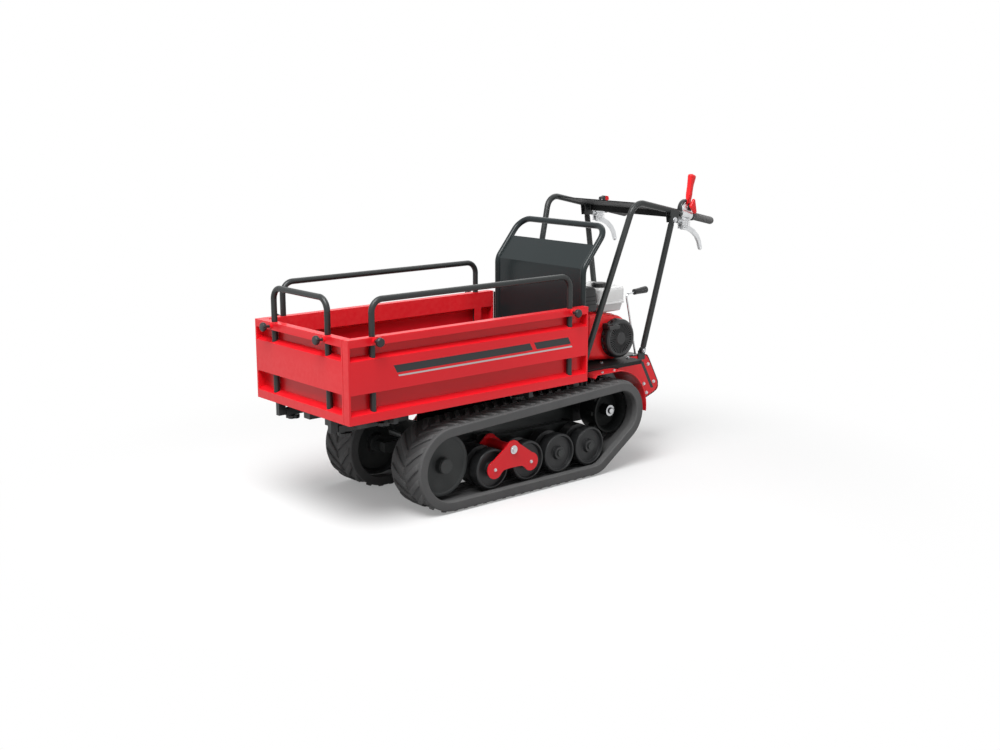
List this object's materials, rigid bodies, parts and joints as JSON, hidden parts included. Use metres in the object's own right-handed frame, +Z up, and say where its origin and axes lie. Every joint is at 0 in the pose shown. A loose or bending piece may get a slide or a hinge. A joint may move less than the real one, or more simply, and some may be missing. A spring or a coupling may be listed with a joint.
{
  "type": "tracked power carrier",
  "caption": "Walk-behind tracked carrier: tipping load tray with sliding sides and guard hoops on rubber tracks, small engine behind, two-handed handlebar with levers",
  "frame": {"origin": "on the ground, at the centre of the bounding box", "axes": "+X forward towards the front panel, +Y to the operator's left, +Z up"},
  "size_m": [1.968, 0.69, 1.1946],
  "materials": {
    "red_paint": "glossy red paint",
    "engine_red": "glossy red paint",
    "black_paint": "satin black paint",
    "grey_paint": "satin charcoal paint",
    "cast_dark": "painted casting",
    "track_rubber": "moulded, dusty",
    "grip_rubber": "soft moulded",
    "black_plastic": "moulded",
    "tank_white": "glossy off-white paint",
    "red_plastic": "moulded",
    "alloy": "die cast",
    "zinc": "zinc plated",
    "chrome_rod": "bright"
  },
  "bodies": {
    "chassis": {"chassis_frame": "black_paint", "track_frames": "black_paint", "tensioners": "black_paint", "engine_deck": "black_paint", "rear_plates": "red_paint", "rear_cover": "black_paint", "mudguards": "red_paint", "gearbox_housing": "cast_dark", "engine_block": "cast_dark", "blower_housing": "engine_red", "recoil_cover": "black_plastic", "fuel_tank": "tank_white", "air_cleaner": "black_plastic", "muffler": "black_paint", "belt_guard": "black_paint", "handlebar_frame": "black_paint", "struts": "black_paint", "grips": "grip_rubber", "lever_perches": "alloy", "track_left": "track_rubber", "track_right": "track_rubber", "frame_bolts": "zinc"},
    "tray": {"bed": "black_paint", "backrest": "grey_paint", "slide_knobs": "black_plastic"},
    "front_side": {"front_panel": "red_paint"},
    "front_rail": {"front_hoop": "black_paint"},
    "front_knob_left_body": {"front_knob_left": "black_plastic"},
    "front_knob_right_body": {"front_knob_right": "black_plastic"},
    "left_side": {"left_panel": "red_paint"},
    "left_rail": {"left_hoop": "black_paint"},
    "left_knob_front_body": {"left_knob_front": "black_plastic"},
    "left_knob_rear_body": {"left_knob_rear": "black_plastic"},
    "right_side": {"right_panel": "red_paint"},
    "right_rail": {"right_hoop": "black_paint"},
    "right_knob_front_body": {"right_knob_front": "black_plastic"},
    "right_knob_rear_body": {"right_knob_rear": "black_plastic"},
    "sprocket_left_body": {"sprocket_left": "black_paint"},
    "idler_left_body": {"idler_left": "black_paint"},
    "bogie_left_body": {"bogie_left": "red_paint"},
    "roller_left_1_body": {"roller_left_1": "black_paint"},
    "roller_left_2_body": {"roller_left_2": "black_paint"},
    "roller_left_3_body": {"roller_left_3": "black_paint"},
    "roller_left_4_body": {"roller_left_4": "black_paint"},
    "clutch_lever_left_body": {"clutch_lever_left": "alloy"},
    "sprocket_right_body": {"sprocket_right": "black_paint"},
    "idler_right_body": {"idler_right": "black_paint"},
    "bogie_right_body": {"bogie_right": "red_paint"},
    "roller_right_1_body": {"roller_right_1": "black_paint"},
    "roller_right_2_body": {"roller_right_2": "black_paint"},
    "roller_right_3_body": {"roller_right_3": "black_paint"},
    "roller_right_4_body": {"roller_right_4": "black_paint"},
    "clutch_lever_right_body": {"clutch_lever_right": "alloy"},
    "drive_lever_body": {"drive_lever": "red_plastic"},
    "throttle_lever_body": {"throttle_lever": "red_plastic"},
    "gear_lever_body": {"gear_lever": "chrome_rod"},
    "fuel_cap_body": {"fuel_cap": "black_plastic"},
    "starter_grip_body": {"starter_grip": "black_plastic"}
  },
  "joints": [
    {"name": "tray_tilt", "type": "hinge", "parent": "chassis", "child": "tray", "pos_m": [0.64, 0, 0.335], "axis": [0, 1, 0], "range_deg": [0, 45]},
    {"name": "front_panel_slide", "type": "slide", "parent": "tray", "child": "front_side", "axis": [1, 0, 0], "range_m": [0, 0.15]},
    {"name": "front_hoop_lift", "type": "slide", "parent": "front_side", "child": "front_rail", "axis": [0, 0, 1], "range_m": [0, 0.15]},
    {"name": "front_knob_left_turn", "type": "hinge", "parent": "front_side", "child": "front_knob_left_body", "pos_m": [0.964, 0.1585, 0.689], "axis": [1, 0, 0], "continuous": true},
    {"name": "front_knob_right_turn", "type": "hinge", "parent": "front_side", "child": "front_knob_right_body", "pos_m": [0.964, -0.1935, 0.689], "axis": [1, 0, 0], "continuous": true},
    {"name": "left_panel_slide", "type": "slide", "parent": "tray", "child": "left_side", "axis": [0, 1, 0], "range_m": [0, 0.15]},
    {"name": "left_hoop_lift", "type": "slide", "parent": "left_side", "child": "left_rail", "axis": [0, 0, 1], "range_m": [0, 0.15]},
    {"name": "left_knob_front_turn", "type": "hinge", "parent": "left_side", "child": "left_knob_front_body", "pos_m": [0.832, 0.325, 0.689], "axis": [0, 1, 0], "continuous": true},
    {"name": "left_knob_rear_turn", "type": "hinge", "parent": "left_side", "child": "left_knob_rear_body", "pos_m": [-0.108, 0.325, 0.689], "axis": [0, 1, 0], "continuous": true},
    {"name": "right_panel_slide", "type": "slide", "parent": "tray", "child": "right_side", "axis": [0, -1, 0], "range_m": [0, 0.15]},
    {"name": "right_hoop_lift", "type": "slide", "parent": "right_side", "child": "right_rail", "axis": [0, 0, 1], "range_m": [0, 0.15]},
    {"name": "right_knob_front_turn", "type": "hinge", "parent": "right_side", "child": "right_knob_front_body", "pos_m": [0.832, -0.325, 0.689], "axis": [0, -1, 0], "continuous": true},
    {"name": "right_knob_rear_turn", "type": "hinge", "parent": "right_side", "child": "right_knob_rear_body", "pos_m": [-0.108, -0.325, 0.689], "axis": [0, -1, 0], "continuous": true},
    {"name": "sprocket_left_turn", "type": "hinge", "parent": "chassis", "child": "sprocket_left_body", "pos_m": [-0.389, 0.22, 0.241], "axis": [0, 1, 0], "continuous": true},
    {"name": "idler_left_turn", "type": "hinge", "parent": "chassis", "child": "idler_left_body", "pos_m": [0.488, 0.22, 0.168], "axis": [0, 1, 0], "continuous": true},
    {"name": "bogie_left_rock", "type": "hinge", "parent": "chassis", "child": "bogie_left_body", "pos_m": [0.1875, 0.22, 0.187], "axis": [0, 1, 0], "range_deg": [-6, 6], "deforming": ["track_left"]},
    {"name": "roller_left_1_turn", "type": "hinge", "parent": "bogie_left_body", "child": "roller_left_1_body", "pos_m": [0.279, 0.22, 0.123], "axis": [0, 1, 0], "continuous": true},
    {"name": "roller_left_2_turn", "type": "hinge", "parent": "bogie_left_body", "child": "roller_left_2_body", "pos_m": [0.096, 0.22, 0.123], "axis": [0, 1, 0], "continuous": true},
    {"name": "roller_left_3_turn", "type": "hinge", "parent": "chassis", "child": "roller_left_3_body", "pos_m": [-0.072, 0.22, 0.123], "axis": [0, 1, 0], "continuous": true},
    {"name": "roller_left_4_turn", "type": "hinge", "parent": "chassis", "child": "roller_left_4_body", "pos_m": [-0.24, 0.22, 0.123], "axis": [0, 1, 0], "continuous": true},
    {"name": "clutch_lever_left_pull", "type": "hinge", "parent": "chassis", "child": "clutch_lever_left_body", "pos_m": [-0.8, 0.254, 0.9745], "axis": [0, 1, 0], "range_deg": [0, 32], "stiffness_Nm_per_rad": 4, "springref_deg": -8.59},
    {"name": "sprocket_right_turn", "type": "hinge", "parent": "chassis", "child": "sprocket_right_body", "pos_m": [-0.389, -0.22, 0.241], "axis": [0, 1, 0], "continuous": true},
    {"name": "idler_right_turn", "type": "hinge", "parent": "chassis", "child": "idler_right_body", "pos_m": [0.488, -0.22, 0.168], "axis": [0, 1, 0], "continuous": true},
    {"name": "bogie_right_rock", "type": "hinge", "parent": "chassis", "child": "bogie_right_body", "pos_m": [0.1875, -0.22, 0.187], "axis": [0, 1, 0], "range_deg": [-6, 6], "deforming": ["track_right"]},
    {"name": "roller_right_1_turn", "type": "hinge", "parent": "bogie_right_body", "child": "roller_right_1_body", "pos_m": [0.279, -0.22, 0.123], "axis": [0, 1, 0], "continuous": true},
    {"name": "roller_right_2_turn", "type": "hinge", "parent": "bogie_right_body", "child": "roller_right_2_body", "pos_m": [0.096, -0.22, 0.123], "axis": [0, 1, 0], "continuous": true},
    {"name": "roller_right_3_turn", "type": "hinge", "parent": "chassis", "child": "roller_right_3_body", "pos_m": [-0.072, -0.22, 0.123], "axis": [0, 1, 0], "continuous": true},
    {"name": "roller_right_4_turn", "type": "hinge", "parent": "chassis", "child": "roller_right_4_body", "pos_m": [-0.24, -0.22, 0.123], "axis": [0, 1, 0], "continuous": true},
    {"name": "clutch_lever_right_pull", "type": "hinge", "parent": "chassis", "child": "clutch_lever_right_body", "pos_m": [-0.8, -0.254, 0.9745], "axis": [0, 1, 0], "range_deg": [0, 32], "stiffness_Nm_per_rad": 4, "springref_deg": -8.59},
    {"name": "drive_lever_push", "type": "hinge", "parent": "chassis", "child": "drive_lever_body", "pos_m": [-0.822, 0.254, 1.06258], "axis": [0, -1, 0], "range_deg": [0, 75], "stiffness_Nm_per_rad": 2, "springref_deg": -17.19},
    {"name": "throttle_lever_turn", "type": "hinge", "parent": "chassis", "child": "throttle_lever_body", "pos_m": [-0.822, -0.254, 1.06258], "axis": [0, -1, 0], "range_deg": [-60, 0]},
    {"name": "gear_lever_shift", "type": "hinge", "parent": "chassis", "child": "gear_lever_body", "pos_m": [-0.697, 0.09, 0.405], "axis": [0, 1, 0], "range_deg": [-8, 8]},
    {"name": "fuel_cap_turn", "type": "hinge", "parent": "chassis", "child": "fuel_cap_body", "pos_m": [-0.458, 0.1, 0.742], "axis": [0, 0, 1], "range_deg": [0, 90]},
    {"name": "starter_pull", "type": "slide", "parent": "chassis", "child": "starter_grip_body", "axis": [0, 1, 0], "range_m": [0, 0.4], "stiffness_N_per_m": 15, "springref_m": -0.1}
  ],
  "couplings": [
    {"joint": "idler_left_turn", "follows": "sprocket_left_turn", "ratio": 0.74194},
    {"joint": "roller_left_1_turn", "follows": "sprocket_left_turn", "ratio": 1.1646},
    {"joint": "roller_left_2_turn", "follows": "sprocket_left_turn", "ratio": 1.1646},
    {"joint": "roller_left_3_turn", "follows": "sprocket_left_turn", "ratio": 1.1646},
    {"joint": "roller_left_4_turn", "follows": "sprocket_left_turn", "ratio": 1.1646},
    {"joint": "idler_right_turn", "follows": "sprocket_right_turn", "ratio": 0.74194},
    {"joint": "roller_right_1_turn", "follows": "sprocket_right_turn", "ratio": 1.1646},
    {"joint": "roller_right_2_turn", "follows": "sprocket_right_turn", "ratio": 1.1646},
    {"joint": "roller_right_3_turn", "follows": "sprocket_right_turn", "ratio": 1.1646},
    {"joint": "roller_right_4_turn", "follows": "sprocket_right_turn", "ratio": 1.1646}
  ]
}
